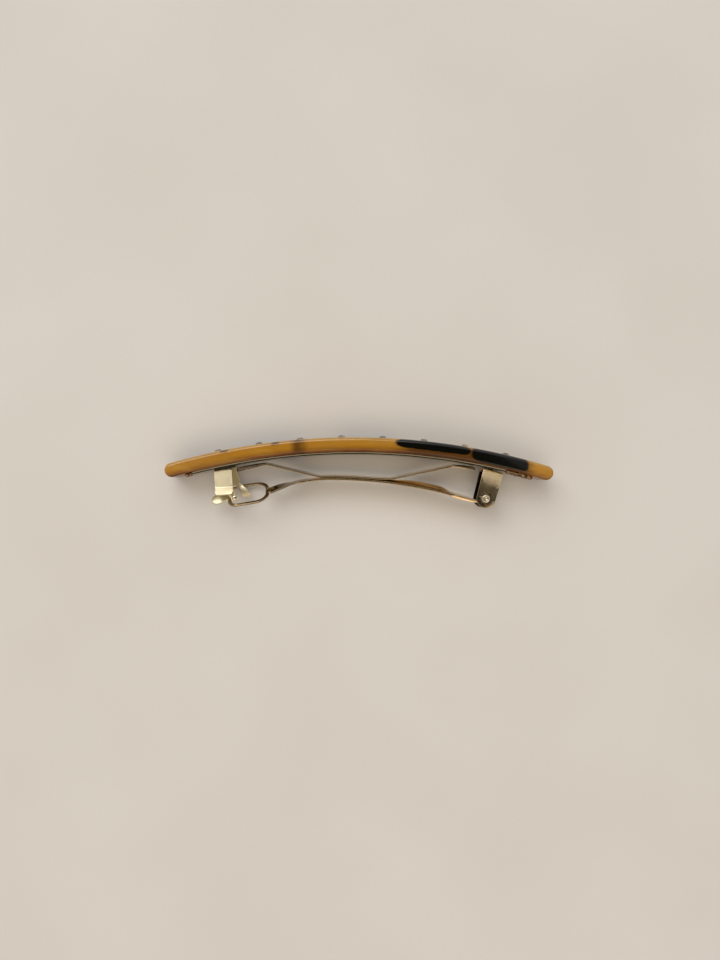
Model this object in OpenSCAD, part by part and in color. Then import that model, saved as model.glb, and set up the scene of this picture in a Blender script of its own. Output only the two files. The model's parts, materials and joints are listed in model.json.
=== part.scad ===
// Spring-clip barrette: a curved acetate bar set with eight crystals, glued to a steel clip.
// Millimetres. X runs along the bar, Y points out of the decorative face, Z runs across the bar.
// The barrette lies on one long edge of the bar, so that edge is the floor, z = 0.

/* [Acetate bar] */
// Length of the bar over both rounded ends
bar_len = 88.9; // [88:0.1:92]
// Width of the bar, which stands upright as the barrette lies
bar_w = 10; // [9.6:0.1:11]
// Thickness of the bar
bar_t = 3.3; // [2.9:0.1:3.5]
// Radius of the decorative face along the bar
bar_r = 153.5; // [150:0.5:158]
// Rounding of the four long edges
bar_edge_r = 0.8; // [0.4:0.1:1.2]

/* [Crystals] */
// How many crystals sit along the bar
crystal_n = 8; // [8]
// Spacing of the crystals along the bar
crystal_pitch = 9.65; // [9:0.05:10.2]
// Offset of the row of crystals from the middle of the bar
crystal_shift = 0.65; // [0:0.05:1]
// Diameter of one crystal
crystal_d = 1.8; // [1.5:0.1:2.4]
// Height of a crystal above the bar
crystal_h = 0.65; // [0.5:0.05:1]
// Depth of the drilled seat of a crystal
seat_depth = 0.6; // [0.4:0.1:1]

/* [Steel clip] */
// Length of the base plate
plate_len = 80; // [78:0.5:82]
// Width of the base plate
plate_w = 7.4; // [7.2:0.1:8]
// Thickness of the base plate
plate_t = 0.45; // [0.4:0.05:0.6]
// Thickness of the adhesive between plate and bar
film_t = 0.1; // [0.1:0.05:0.2]
// Thickness of the hinge bracket and the catch
sheet_t = 0.5; // [0.45:0.05:0.55]

/* [Hinge] */
// Place of the hinge pin along the bar, from its middle
pin_x = 29.2; // [29:0.1:30]
// Depth of the hinge pin below the crown of the bar
pin_drop = 13.85; // [13.6:0.05:14]
// Width of an ear of the hinge bracket
ear_w = 4.5; // [4.3:0.1:5]
// Lean of the ears from the vertical
ear_lean = 15; // [12:1:16]
// Diameter of the hinge pin
pin_d = 1.4; // [1.3:0.1:1.5]
// Diameter of the heads of the hinge pin
pin_head_d = 2.0; // [1.8:0.1:2.2]
// Radial clearance of the arm on the pin
pin_gap = 0.06; // [0.04:0.01:0.08]

/* [Clasp arm] */
// Width of the arm
arm_w = 5.2; // [4.8:0.1:5.4]
// Thickness of the arm's strip
arm_t = 0.45; // [0.4:0.05:0.5]
// Greatest height to which the arm's channel rises above its edges, beside the hinge
arm_rise = 1.0; // [0.6:0.05:1.1]
// Roll of the loop at the arm's free end, near side lower
loop_roll = 34; // [32:1:36]
// Length of the loop
loop_len = 10.3; // [10:0.1:10.4]
// Width of the loop
loop_w = 8.3; // [8.2:0.1:8.4]
// Width of the loop's strands
strand_w = 0.85; // [0.8:0.05:0.9]

/* [Tension bow] */
// Width of the bow
bow_w = 4.0; // [3.6:0.1:4.2]
// Thickness of the bow
bow_t = 0.35; // [0.3:0.05:0.4]

/* [Hidden] */
$fn = 48;

// Height of the crown above the middle of the whole object
crown_y = 7.9;
mid_z = bar_w / 2;
arc_y = crown_y - bar_r;
bar_in_r = bar_r - bar_t;
plate_out_r = bar_in_r - film_t;
plate_in_r = plate_out_r - plate_t;
base_in_r = plate_in_r - sheet_t;
pin_y = crown_y - pin_drop;
ear_in = 2.9;
ear_out = ear_in + sheet_t;
catch_x = 30.95;
catch_lean = asin(catch_x / plate_in_r);
prong_in = 2.05;
prong_out = prong_in + 0.45;
rivet_r = 0.6;
steel = "#c9c2ac";
spring_steel = "#8b8474";

// Height of a circle about the bar's centre of curvature, at a place along X
function arc_at(r, x) = arc_y + sqrt(r * r - x * x);

// Rounded rectangle from exact pieces, its corner at the origin
module rounded(w, h, r) {
    translate([r, 0]) square([w - 2 * r, h]);
    translate([0, r]) square([w, h - 2 * r]);
    for (x = [r, w - r], y = [r, h - r])
        translate([x, y]) circle(r);
}

// Rectangle whose corners are rounded more at its left end than at its right end
module two_radius(w, h, left, right) {
    translate([left, 0]) square([w - left - right, h]);
    translate([0, left]) square([left, h - 2 * left]);
    translate([w - right, right]) square([right, h - 2 * right]);
    for (y = [left, h - left]) translate([left, y]) circle(left);
    for (y = [right, h - right]) translate([w - right, y]) circle(right);
}

// Arched sheet about the bar's centre of curvature: radii, centre and half-length in X, Z range
module arched(r_in, r_out, x, half, z_lo, z_hi) {
    a_lo = asin((x - half) / r_out);
    a_hi = asin((x + half) / r_out);
    translate([0, arc_y, 0])
        rotate([0, 0, 90 - a_hi])
            rotate_extrude(angle = a_hi - a_lo, $fn = 360)
                translate([r_in, z_lo]) square([r_out - r_in, z_hi - z_lo]);
}

// Places its child on a circle about the bar's centre, with Y along the radius
module on_arc(r, angle) {
    translate([0, arc_y, 0])
        rotate([0, 0, -angle])
            translate([0, r, 0]) children();
}

// Strip lofted through stations of [x, y, slope, roll, half width, rise of its middle]
module strip(stations, thick, across = 8) {
    n = len(stations);
    m = across + 1;
    function point(s, j, side) =
        let (w = (2 * j / across - 1) * s[4])
        let (h = side * thick / 2 + s[5] * (1 - pow(2 * j / across - 1, 2)))
        let (lift = h * cos(s[3]) - w * sin(s[3]))
        let (z = w * cos(s[3]) + h * sin(s[3]))
        [s[0] - lift * sin(s[2]), s[1] + lift * cos(s[2]), mid_z + z];
    points = [
        for (s = stations)
            for (side = [1, -1])
                for (j = [0:across])
                    point(s, side > 0 ? j : across - j, side)
    ];
    ring = 2 * m;
    sides = [
        for (i = [0:n - 2], k = [0:ring - 1])
            let (a = i * ring + k, b = i * ring + (k + 1) % ring)
            each [[a, a + ring, b], [b, a + ring, b + ring]]
    ];
    first = [
        for (j = [0:across - 1])
            let (k = ring - 1 - j)
            each [[k, j, j + 1], [k, j + 1, k - 1]]
    ];
    last = [for (f = first) [for (k = [2, 1, 0]) f[k] + (n - 1) * ring]];
    polyhedron(points, concat(sides, first, last));
}

module acetate_bar() {
    nose = bar_t / 2;
    mid_r = bar_r - nose;
    a_end = round(asin((bar_len / 2 - nose) / mid_r) * 100) / 100;
    color("#b9741c")
        difference() {
            union() {
                translate([0, arc_y, 0])
                    rotate([0, 0, 90 - a_end])
                        rotate_extrude(angle = 2 * a_end, $fn = 360)
                            translate([bar_in_r, 0]) rounded(bar_t, bar_w, bar_edge_r);
                for (side = [-1, 1])
                    on_arc(mid_r, side * a_end)
                        rotate([0, 0, side > 0 ? -90 : 90])
                            rotate_extrude(angle = 180)
                                intersection() {
                                    translate([-nose, 0]) rounded(bar_t, bar_w, bar_edge_r);
                                    square([nose, bar_w]);
                                }
            }
            for (i = [1:crystal_n])
                crystal_place(i)
                    translate([0, 0, -seat_depth]) cylinder(r = crystal_d / 2 + 0.02, h = 3);
        }
}

// Puts its child at crystal i, with Z out of the bar
module crystal_place(i) {
    step = crystal_pitch / bar_r * 180 / PI;
    shift = crystal_shift / bar_r * 180 / PI;
    on_arc(bar_r, (i - (crystal_n + 1) / 2) * step + shift)
        translate([0, 0, mid_z])
            rotate([-90, 0, 0]) children();
}

// Round faceted stone: a girdle in the seat and an eight-sided crown with a flat table
module crystal(i) {
    girdle = 0.2;
    color("#f4f3ee")
        crystal_place(i) {
            translate([0, 0, -seat_depth]) cylinder(r = crystal_d / 2, h = seat_depth + girdle);
            translate([0, 0, girdle])
                cylinder(r1 = crystal_d / 2, r2 = crystal_d * 0.27, h = crystal_h - girdle, $fn = 8);
        }
}

module adhesive_film() {
    color("#8a4f16")
        arched(plate_out_r + 0.01, bar_in_r - 0.01, 0, plate_len / 2 - 1.5, mid_z - 3.4, mid_z + 3.4);
}

// Outline of the base plate as solids, seen from below
module plate_outline(grow = 0) {
    l = plate_len + 2 * grow;
    w = plate_w + 2 * grow;
    translate([-l / 2, 20, mid_z - w / 2])
        rotate([90, 0, 0])
            linear_extrude(60) rounded(l, w, 2);
}

module base_plate() {
    color(steel)
        difference() {
            intersection() {
                arched(plate_in_r, plate_out_r, 0, plate_len / 2 + 1, mid_z - 4.5, mid_z + 4.5);
                plate_outline();
            }
            on_arc(plate_in_r, asin(hinge_mid_x() / plate_in_r)) rivet_hole();
            on_arc(plate_in_r, -catch_lean) rivet_hole();
        }
}

// Middle of the hinge bracket along X
function hinge_mid_x() = pin_x + 6.2 * sin(ear_lean);

module rivet_hole() {
    translate([0, 0, mid_z])
        rotate([90, 0, 0]) cylinder(r = rivet_r, h = 8, center = true);
}

// Clinch rivet that holds a bracket to the plate: flush above, a low head below
module clinch_rivet() {
    translate([0, 0, mid_z])
        rotate([90, 0, 0]) {
            translate([0, 0, -plate_t]) cylinder(r = rivet_r, h = plate_t + sheet_t);
            translate([0, 0, sheet_t]) cylinder(r = 1.1, h = 0.25);
        }
}

module hinge_rivet() {
    color(spring_steel) on_arc(plate_in_r, asin(hinge_mid_x() / plate_in_r)) clinch_rivet();
}

module catch_rivet() {
    color(spring_steel) on_arc(plate_in_r, -catch_lean) clinch_rivet();
}

// Bracket folded from one strip: a base under the plate and an ear on each side of the arm
module hinge_bracket() {
    color(steel)
        difference() {
            union() {
                arched(base_in_r, plate_in_r, hinge_mid_x(), ear_w / 2 + 0.3,
                       mid_z - ear_out, mid_z + ear_out);
                intersection() {
                    for (z = [mid_z - ear_out, mid_z + ear_in])
                        translate([pin_x, pin_y, z])
                            rotate([0, 0, -ear_lean]) {
                                cylinder(r = ear_w / 2, h = sheet_t);
                                translate([-ear_w / 2, 0, 0]) cube([ear_w, 9, sheet_t]);
                            }
                    translate([0, arc_y, -1]) cylinder(r = plate_in_r, h = bar_w + 2, $fn = 360);
                }
            }
            translate([pin_x, pin_y, -1]) cylinder(r = pin_d / 2, h = bar_w + 2);
            on_arc(plate_in_r, asin(hinge_mid_x() / plate_in_r)) rivet_hole();
        }
}

// Tubular rivet through both ears, with a dished head at each end
module hinge_pin() {
    head = 0.35;
    color("#b5ac97")
        translate([pin_x, pin_y, mid_z])
            difference() {
                union() {
                    cylinder(r = pin_d / 2, h = 2 * ear_out, center = true);
                    for (side = [-1, 1])
                        translate([0, 0, side * (ear_out + head / 2)])
                            cylinder(r = pin_head_d / 2, h = head, center = true);
                }
                for (side = [-1, 1])
                    translate([0, 0, side * (ear_out + head)])
                        cylinder(r = pin_head_d / 2 - 0.3, h = 0.5, center = true);
            }
}

module catch_base() {
    color(steel)
        difference() {
            arched(base_in_r, plate_in_r, -catch_x, 2.4, mid_z - 2.9, mid_z + 2.9);
            on_arc(plate_in_r, -catch_lean) rivet_hole();
        }
}

// Sprung prong of the catch, on the near side; its root is at the catch base.
// shift and lean place it in its own plane, wing_w is the width of its flared thumb wing,
// tongue_x is where its tongue begins, and nose is the centre and radius of its rounded nose.
module prong(shift, lean, wing_w, tongue_x, nose) {
    wall_w = 4.1;
    wall_h = 4.25;
    flare = 1.35;
    on_arc(base_in_r - 0.02, -catch_lean)
        translate([shift, 0, mid_z])
            rotate([0, 0, lean]) {
                translate([0, 0, prong_in])
                    linear_extrude(prong_out - prong_in) {
                        translate([-wall_w / 2, -wall_h]) square([wall_w, wall_h + 0.3]);
                        polygon([
                            [tongue_x, -wall_h + 0.1],
                            [wall_w / 2, -wall_h + 0.1],
                            [nose[0] + nose[2], nose[1]],
                            [nose[0] - nose[2], nose[1]]
                        ]);
                        translate([nose[0], nose[1]]) circle(nose[2]);
                    }
                translate([-wall_w / 2, -wall_h, 0])
                    rotate([0, 90, 0])
                        linear_extrude(wing_w)
                            polygon([
                                [-prong_in, 0],
                                [-prong_out, 0.5],
                                [-prong_out - flare, 0.5 - flare],
                                [-prong_out - flare + 0.3, -flare + 0.15]
                            ]);
            }
}

// Space below the catch base, which trims the top of a leaning prong
module below_base() {
    translate([0, arc_y, -1]) cylinder(r = base_in_r - 0.05, h = bar_w + 2, $fn = 360);
}

module catch_prong_near() {
    color(steel)
        intersection() {
            prong(-0.6, -7, 4.1, -0.9, [2.25, -6.6, 0.8]);
            below_base();
        }
}

module catch_prong_far() {
    color(steel)
        intersection() {
            translate([0, 0, bar_w])
                mirror([0, 0, 1]) prong(0, 4, 0.7, 0.7, [2.65, -6.45, 1.0]);
            below_base();
        }
}

// Edge line of the arm: a long arc, a tighter arc towards the loop, and a straight run to the hinge
arm_top = [-6.2, crown_y - 9.4];
arm_long_r = 113;
arm_short_r = 36;
arm_flat_x = 21.8;
barrel_r = 1.2;
arm_root = [pin_x - 0.25, pin_y - barrel_r + arm_t / 2];
function arm_r(x) = x > arm_top[0] ? arm_long_r : arm_short_r;
function arm_arc(x) = arm_top[1] - arm_r(x) + sqrt(pow(arm_r(x), 2) - pow(x - arm_top[0], 2));
function arm_line(x) =
    arm_arc(arm_flat_x)
    + (x - arm_flat_x) / (arm_root[0] - arm_flat_x) * (arm_root[1] - arm_arc(arm_flat_x));
function arm_y(x) = x <= arm_flat_x ? arm_arc(x) : arm_line(x);
function arm_slope(x) = atan((arm_y(x + 0.05) - arm_y(x - 0.05)) / 0.1);

// Height of the arm's middle above its edges: a channel that is deepest beside the hinge
function arm_channel(x) =
    (0.1 + (arm_rise - 0.1) * ease(2.5, 14.5, x)) * (1 - ease(18.5, 22.5, x)) * ease(-18, -14, x);

// Smooth step from 0 to 1 between two places
function ease(a, b, x) = let (t = min(1, max(0, (x - a) / (b - a)))) t * t * (3 - 2 * t);

neck_x = -20.3;
neck = [neck_x, arm_arc(neck_x)];
loop_pitch = 10;

module clasp_arm() {
    steps = 56;
    end_x = arm_root[0];
    stations = [
        for (i = [0:steps])
            let (x = neck_x + (end_x - neck_x) * i / steps)
            let (body_roll = 5 * (1 - ease(25, 28.6, x)))
            let (roll = body_roll + (loop_roll - 5) * (1 - ease(neck_x, -15.2, x)))
            let (half = 1.05 + (arm_w / 2 - 1.05) * ease(neck_x + 0.6, -13.5, x))
            [x, arm_y(x), arm_slope(x), roll, half, arm_channel(x)]
    ];
    color(spring_steel)
        difference() {
            union() {
                strip(stations, arm_t);
                translate([pin_x, pin_y, mid_z]) cylinder(r = barrel_r, h = arm_w, center = true);
            }
            translate([pin_x, pin_y, mid_z])
                cylinder(r = pin_d / 2 + pin_gap, h = arm_w + 4, center = true);
        }
}

// Flat loop at the arm's free end, with a rounded thumb tab
module clasp_loop() {
    tab_w = 3.2;
    tab_end = loop_len + 3.9;
    color(spring_steel)
        translate([neck[0], neck[1], mid_z])
            rotate([0, 0, 180 + loop_pitch])
                rotate([-90 - loop_roll, 0, 0])
                    translate([0.08, 0, -arm_t / 2])
                        linear_extrude(arm_t)
                            difference() {
                                union() {
                                    translate([0, -1.05]) square([2, 2.1]);
                                    translate([0.6, -loop_w / 2]) two_radius(loop_len - 0.6, loop_w, 3.2, 2.2);
                                    translate([loop_len - 1, -tab_w / 2])
                                        square([tab_end - tab_w / 2 - loop_len + 1, tab_w]);
                                    translate([tab_end - tab_w / 2, 0]) circle(tab_w / 2);
                                }
                                translate([0.6 + strand_w, -loop_w / 2 + strand_w])
                                    two_radius(loop_len - 0.6 - 2 * strand_w, loop_w - 2 * strand_w,
                                               3.2 - strand_w, 2.2 - strand_w);
                            }
}

// Sprung strip between plate and arm: two knees under the plate and a middle on the arm
module tension_bow() {
    lift = arm_t / 2 + bow_t / 2 + 0.06;
    knee_l = [-21.4, crown_y - 6.1];
    knee_r = [21.8, crown_y - 6.25];
    end_l = [-28.4, crown_y - 7.85];
    end_r = [27.0, crown_y - 7.0];
    seat_l = -9.2;
    seat_r = 7.6;
    function line_y(a, b, x) = a[1] + (b[1] - a[1]) * (x - a[0]) / (b[0] - a[0]);
    function seat(x) = [x, arm_y(x) + arm_channel(x) + lift];
    function raw(x) =
        x < knee_l[0] ? line_y(end_l, knee_l, x) :
        x < seat_l ? line_y(knee_l, seat(seat_l), x) :
        x < seat_r ? seat(x)[1] :
        x < knee_r[0] ? line_y(seat(seat_r), knee_r, x) : line_y(knee_r, end_r, x);
    soft = 0.7;
    function bow_y(x) = (raw(x - soft) + 2 * raw(x) + raw(x + soft)) / 4;
    steps = 80;
    stations = [
        for (i = [0:steps])
            let (x = end_l[0] + (end_r[0] - end_l[0]) * i / steps)
            let (slope = atan((bow_y(x + 0.1) - bow_y(x - 0.1)) / 0.2))
            [x, bow_y(x), slope, 5, bow_w / 2, 0]
    ];
    color(spring_steel) {
        strip(stations, bow_t, 2);
        for (z = [mid_z - bow_w / 2, mid_z + bow_w / 2 - 0.3])
            translate([0, 0, z])
                linear_extrude(0.3)
                    for (side = [[end_l, knee_l, 0.5], [end_r, knee_r, 0.25]])
                        translate([0, z < mid_z ? 0.16 : -0.16]) bow_flange(side[0], side[1], side[2]);
    }
}

// Turned-up edge at an end of the bow: a lens between the strip and the plate
module bow_flange(tip, knee, height) {
    polygon([
        for (t = [0:0.1:0.9]) tip + t * (knee - tip),
        for (t = [0.9:-0.1:0]) tip + t * (knee - tip) + [0, height + bow_t / 2 - height * t * t]
    ]);
}

// Ridge of set adhesive that squeezed out along the near edge of the plate, at one of its ends.
// Lumps are [x, radius].
module glue_bead(lumps) {
    color("#8a4f16")
        translate([0, 0, mid_z + plate_w / 2 + 0.02])
            linear_extrude(0.75)
                for (p = lumps)
                    translate([p[0], arc_at(plate_in_r, p[0]) - 0.13]) circle(p[1]);
}

module glue_bead_left() {
    glue_bead([[-38.5, 0.5], [-39.3, 0.6]]);
}

module glue_bead_right() {
    glue_bead([[34.0, 0.56], [35.0, 0.63], [36.1, 0.58], [37.2, 0.64], [38.2, 0.6], [39.1, 0.64]]);
}

acetate_bar();
crystal(1);  // crystal_1
crystal(2);  // crystal_2
crystal(3);  // crystal_3
crystal(4);  // crystal_4
crystal(5);  // crystal_5
crystal(6);  // crystal_6
crystal(7);  // crystal_7
crystal(8);  // crystal_8
adhesive_film();
glue_bead_left();
glue_bead_right();
base_plate();
hinge_bracket();
hinge_rivet();
hinge_pin();
catch_base();
catch_rivet();
catch_prong_near();
catch_prong_far();
tension_bow();
clasp_arm();
clasp_loop();
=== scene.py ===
"""A curved tortoiseshell barrette with crystals and a plated spring clip, lying on its long edge.

Everything is in metres, in the CAD frame: X along the bar, Y out of the decorative face,
Z up across the bar. Lengths below are written in millimetres times MM.
"""
import json
import math
import random

import bmesh
import bpy
from mathutils import Matrix, Vector


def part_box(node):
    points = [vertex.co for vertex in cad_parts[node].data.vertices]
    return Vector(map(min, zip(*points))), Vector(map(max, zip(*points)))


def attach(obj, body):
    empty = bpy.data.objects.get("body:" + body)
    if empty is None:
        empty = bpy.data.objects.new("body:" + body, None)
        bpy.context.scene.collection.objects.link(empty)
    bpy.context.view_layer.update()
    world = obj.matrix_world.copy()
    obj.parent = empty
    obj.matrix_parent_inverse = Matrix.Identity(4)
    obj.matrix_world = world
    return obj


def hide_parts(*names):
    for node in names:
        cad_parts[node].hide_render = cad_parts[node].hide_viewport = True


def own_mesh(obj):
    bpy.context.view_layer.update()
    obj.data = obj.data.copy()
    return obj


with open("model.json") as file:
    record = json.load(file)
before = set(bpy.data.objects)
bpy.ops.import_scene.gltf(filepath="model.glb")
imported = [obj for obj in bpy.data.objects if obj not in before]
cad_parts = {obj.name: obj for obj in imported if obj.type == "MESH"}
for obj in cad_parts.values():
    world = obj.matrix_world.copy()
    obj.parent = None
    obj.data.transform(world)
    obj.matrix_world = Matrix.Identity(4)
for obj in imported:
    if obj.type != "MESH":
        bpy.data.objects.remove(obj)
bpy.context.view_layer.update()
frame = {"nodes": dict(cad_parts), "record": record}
MM = 0.001

# ---------------------------------------------------------------- sizes shared by several pieces
BAR_LOW, BAR_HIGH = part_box("acetate_bar")
BAR_R = 153.5 * MM
BAR_T = 3.3 * MM
BAR_W = BAR_HIGH[2] - BAR_LOW[2]
BAR_LEN = BAR_HIGH[0] - BAR_LOW[0]
CROWN = BAR_HIGH[1]
ARC_Y = CROWN - BAR_R
MID_Z = (BAR_HIGH[2] + BAR_LOW[2]) / 2
PLATE_T = 0.45 * MM
PLATE_OUT_R = BAR_R - BAR_T - 0.1 * MM
PLATE_IN_R = PLATE_OUT_R - PLATE_T
JOINTS = {j["name"]: j for j in frame["record"]["behaviour"]["joints"]}
PIN = Vector(JOINTS["arm_hinge"]["pos_m"])
SHEET_T = 0.5 * MM
ARM_T = 0.45 * MM
BOW_T = 0.35 * MM


def arc_point(radius, angle):
    """Point on a circle about the bar's centre of curvature; the angle grows towards the hinge."""
    return Vector((radius * math.sin(angle), ARC_Y + radius * math.cos(angle)))


def ease(a, b, x):
    """Smooth step from 0 at a to 1 at b."""
    t = min(1.0, max(0.0, (x - a) / (b - a)))
    return t * t * (3 - 2 * t)


# ---------------------------------------------------------------- mesh helpers
def add_piece(name, verts, faces, material, body, nodes=(), smooth=True):
    """New mesh object that rides on a body and stands for CAD nodes."""
    mesh = bpy.data.meshes.new(name)
    mesh.from_pydata([tuple(v) for v in verts], [], faces)
    mesh.validate()
    mesh.update()
    return finish_piece(name, mesh, material, body, nodes, smooth)


def finish_piece(name, mesh, material, body, nodes, smooth=True):
    """Object for a mesh, with its materials, the body that it rides on and the nodes it shows."""
    piece = bpy.data.objects.new(name, mesh)
    bpy.context.scene.collection.objects.link(piece)
    for polygon in mesh.polygons:
        polygon.use_smooth = smooth
    for m in material if isinstance(material, (list, tuple)) else [material]:
        mesh.materials.append(m)
    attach(piece, body)
    if nodes:
        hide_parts(*nodes)
    return piece


def round_profile(half, thick, corner, across=10, rise=0.0):
    """Closed outline of a strip's section, as (w, h), with rounded corners and a raised middle."""
    inner = half - corner
    side = thick / 2
    flat = [(-inner + 2 * inner * i / across, side) for i in range(across + 1)]
    arc = [90 - 90 * k / 3 for k in range(1, 4)]
    top_right = [(inner + corner * math.cos(math.radians(a)),
                  side - corner + corner * math.sin(math.radians(a))) for a in arc]
    right = top_right + [(w, -h) for w, h in reversed(top_right)]
    bottom = [(-w, -h) for w, h in flat]
    left = [(-w, -h) for w, h in right]
    outline = flat + right + bottom + left
    return [(w, h + rise * (1 - (w / half) ** 2)) for w, h in outline]


def loft(rings, closed=False):
    """Verts and faces of a tube through rings of equal length, capped unless it closes on itself."""
    size = len(rings[0])
    verts = [v for ring in rings for v in ring]
    faces = []
    count = len(rings)
    for i in range(count if closed else count - 1):
        a, b = i * size, (i + 1) % count * size
        for k in range(size):
            n = (k + 1) % size
            faces.append((a + k, a + n, b + n, b + k))
    if not closed:
        faces.append(tuple(reversed(range(size))))
        faces.append(tuple(range((count - 1) * size, count * size)))
    return verts, faces


def strip_ring(x, y, slope, roll, outline):
    """Section of a strip that runs along X: outline placed at (x, y), turned by slope and roll."""
    ring = []
    for w, h in outline:
        lift = h * math.cos(roll) - w * math.sin(roll)
        z = w * math.cos(roll) + h * math.sin(roll)
        ring.append((x - lift * math.sin(slope), y + lift * math.cos(slope), MID_Z + z))
    return ring


def bent_sheet(name, outer, holes, cuts, place, thick, edge, material, body, nodes=()):
    """Sheet cut to a flat outline, bent by place(x, s), then given thickness and softened edges."""
    bm = bmesh.new()
    for loop in [outer] + holes:
        ring = [bm.verts.new((x, s, 0)) for x, s in loop]
        for a, b in zip(ring, ring[1:] + ring[:1]):
            bm.edges.new((a, b))
    bmesh.ops.triangle_fill(bm, use_beauty=True, edges=bm.edges[:])
    for s in cuts:
        everything = bm.verts[:] + bm.edges[:] + bm.faces[:]
        bmesh.ops.bisect_plane(bm, geom=everything, dist=1e-7, plane_co=(0, s, 0), plane_no=(0, 1, 0))
    for v in bm.verts:
        v.co = place(v.co.x, v.co.y)
    bmesh.ops.recalc_face_normals(bm, faces=bm.faces[:])
    mesh = bpy.data.meshes.new(name)
    bm.to_mesh(mesh)
    bm.free()
    piece = finish_piece(name, mesh, material, body, nodes)
    solid = piece.modifiers.new("thickness", "SOLIDIFY")
    solid.thickness = thick
    solid.offset = 0
    soften(piece, edge)
    return piece


def soften(piece, width, segments=3):
    """Small rounding on sharp edges, with flat faces kept flat in the shading."""
    bevel = piece.modifiers.new("edges", "BEVEL")
    bevel.width = width
    bevel.segments = segments
    bevel.limit_method = "ANGLE"
    bevel.angle_limit = math.radians(40)
    bevel.use_clamp_overlap = True
    piece.modifiers.new("shading", "WEIGHTED_NORMAL")


def fix_normals(mesh, merge=0.0):
    """Faces turned outwards, after joining points closer than merge."""
    bm = bmesh.new()
    bm.from_mesh(mesh)
    if merge:
        bmesh.ops.remove_doubles(bm, verts=bm.verts[:], dist=merge)
    bmesh.ops.recalc_face_normals(bm, faces=bm.faces[:])
    bm.to_mesh(mesh)
    bm.free()


def add_tube(verts, faces, rings):
    """Another capped tube, added to verts and faces."""
    more_verts, more_faces = loft(rings)
    base = len(verts)
    verts.extend(more_verts)
    faces.extend(tuple(base + i for i in face) for face in more_faces)


def circle_points(cx, cy, radius, start=0.0, end=360.0, count=24):
    """Points on an arc, in degrees, ends included unless it is a full circle."""
    full = abs(end - start) >= 360
    steps = count if full else count - 1
    angles = [math.radians(start + (end - start) * i / steps) for i in range(count)]
    return [(cx + radius * math.cos(a), cy + radius * math.sin(a)) for a in angles]


# ---------------------------------------------------------------- material helpers
class Shader:
    """Short way to write a node tree."""

    def __init__(self, name):
        self.material = bpy.data.materials.new(name)
        self.material.use_nodes = True
        self.nodes = self.material.node_tree.nodes
        self.links = self.material.node_tree.links
        self.bsdf = self.nodes["Principled BSDF"]

    def set(self, **values):
        for key, value in values.items():
            self.bsdf.inputs[key.replace("_", " ")].default_value = value

    def to(self, socket, value):
        if isinstance(value, bpy.types.NodeSocket):
            self.links.new(value, socket)
        else:
            socket.default_value = value

    def node(self, kind, inputs=(), out=0, **props):
        n = self.nodes.new(kind)
        for key, value in props.items():
            setattr(n, key, value)
        for key, value in dict(inputs).items():
            self.to(n.inputs[key], value)
        return n.outputs[out]

    def math(self, op, a, b=0.0, c=0.0):
        return self.node("ShaderNodeMath", {0: a, 1: b, 2: c}, operation=op)

    def vec(self, op, a, b=(0, 0, 0)):
        return self.node("ShaderNodeVectorMath", {0: a, 1: b}, operation=op)

    def place(self, scale=(1000, 1000, 1000)):
        """Object coordinates, in millimetres by default."""
        here = self.node("ShaderNodeTexCoord", out=3)
        return self.vec("MULTIPLY", here, scale)

    def noise(self, vector, scale=1.0, detail=4.0, rough=0.5, distort=0.0):
        return self.node("ShaderNodeTexNoise", {
            "Vector": vector, "Scale": scale, "Detail": detail, "Roughness": rough, "Distortion": distort,
        })

    def ramp(self, value, low, high, a=0.0, b=1.0):
        return self.node("ShaderNodeMapRange", {
            "Value": value, "From Min": low, "From Max": high, "To Min": a, "To Max": b,
        }, interpolation_type="SMOOTHSTEP")

    def mix(self, factor, a, b):
        n = self.nodes.new("ShaderNodeMix")
        n.data_type = "RGBA"
        self.to(n.inputs[0], factor)
        self.to(n.inputs[6], a if isinstance(a, bpy.types.NodeSocket) else (*a, 1))
        self.to(n.inputs[7], b if isinstance(b, bpy.types.NodeSocket) else (*b, 1))
        return n.outputs[2]

    def split(self, vector):
        n = self.nodes.new("ShaderNodeSeparateXYZ")
        self.links.new(vector, n.inputs[0])
        return n.outputs[0], n.outputs[1], n.outputs[2]

    def join(self, x, y, z):
        n = self.nodes.new("ShaderNodeCombineXYZ")
        for socket, value in zip(n.inputs, (x, y, z)):
            self.to(socket, value)
        return n.outputs[0]

    def bump(self, height, strength, distance):
        normal = self.node("ShaderNodeBump", {
            "Height": height, "Strength": strength, "Distance": distance,
        })
        self.links.new(normal, self.bsdf.inputs["Normal"])

    def colour(self, socket):
        self.to(self.bsdf.inputs["Base Color"], socket)

    def roughness(self, socket):
        self.to(self.bsdf.inputs["Roughness"], socket)


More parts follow.
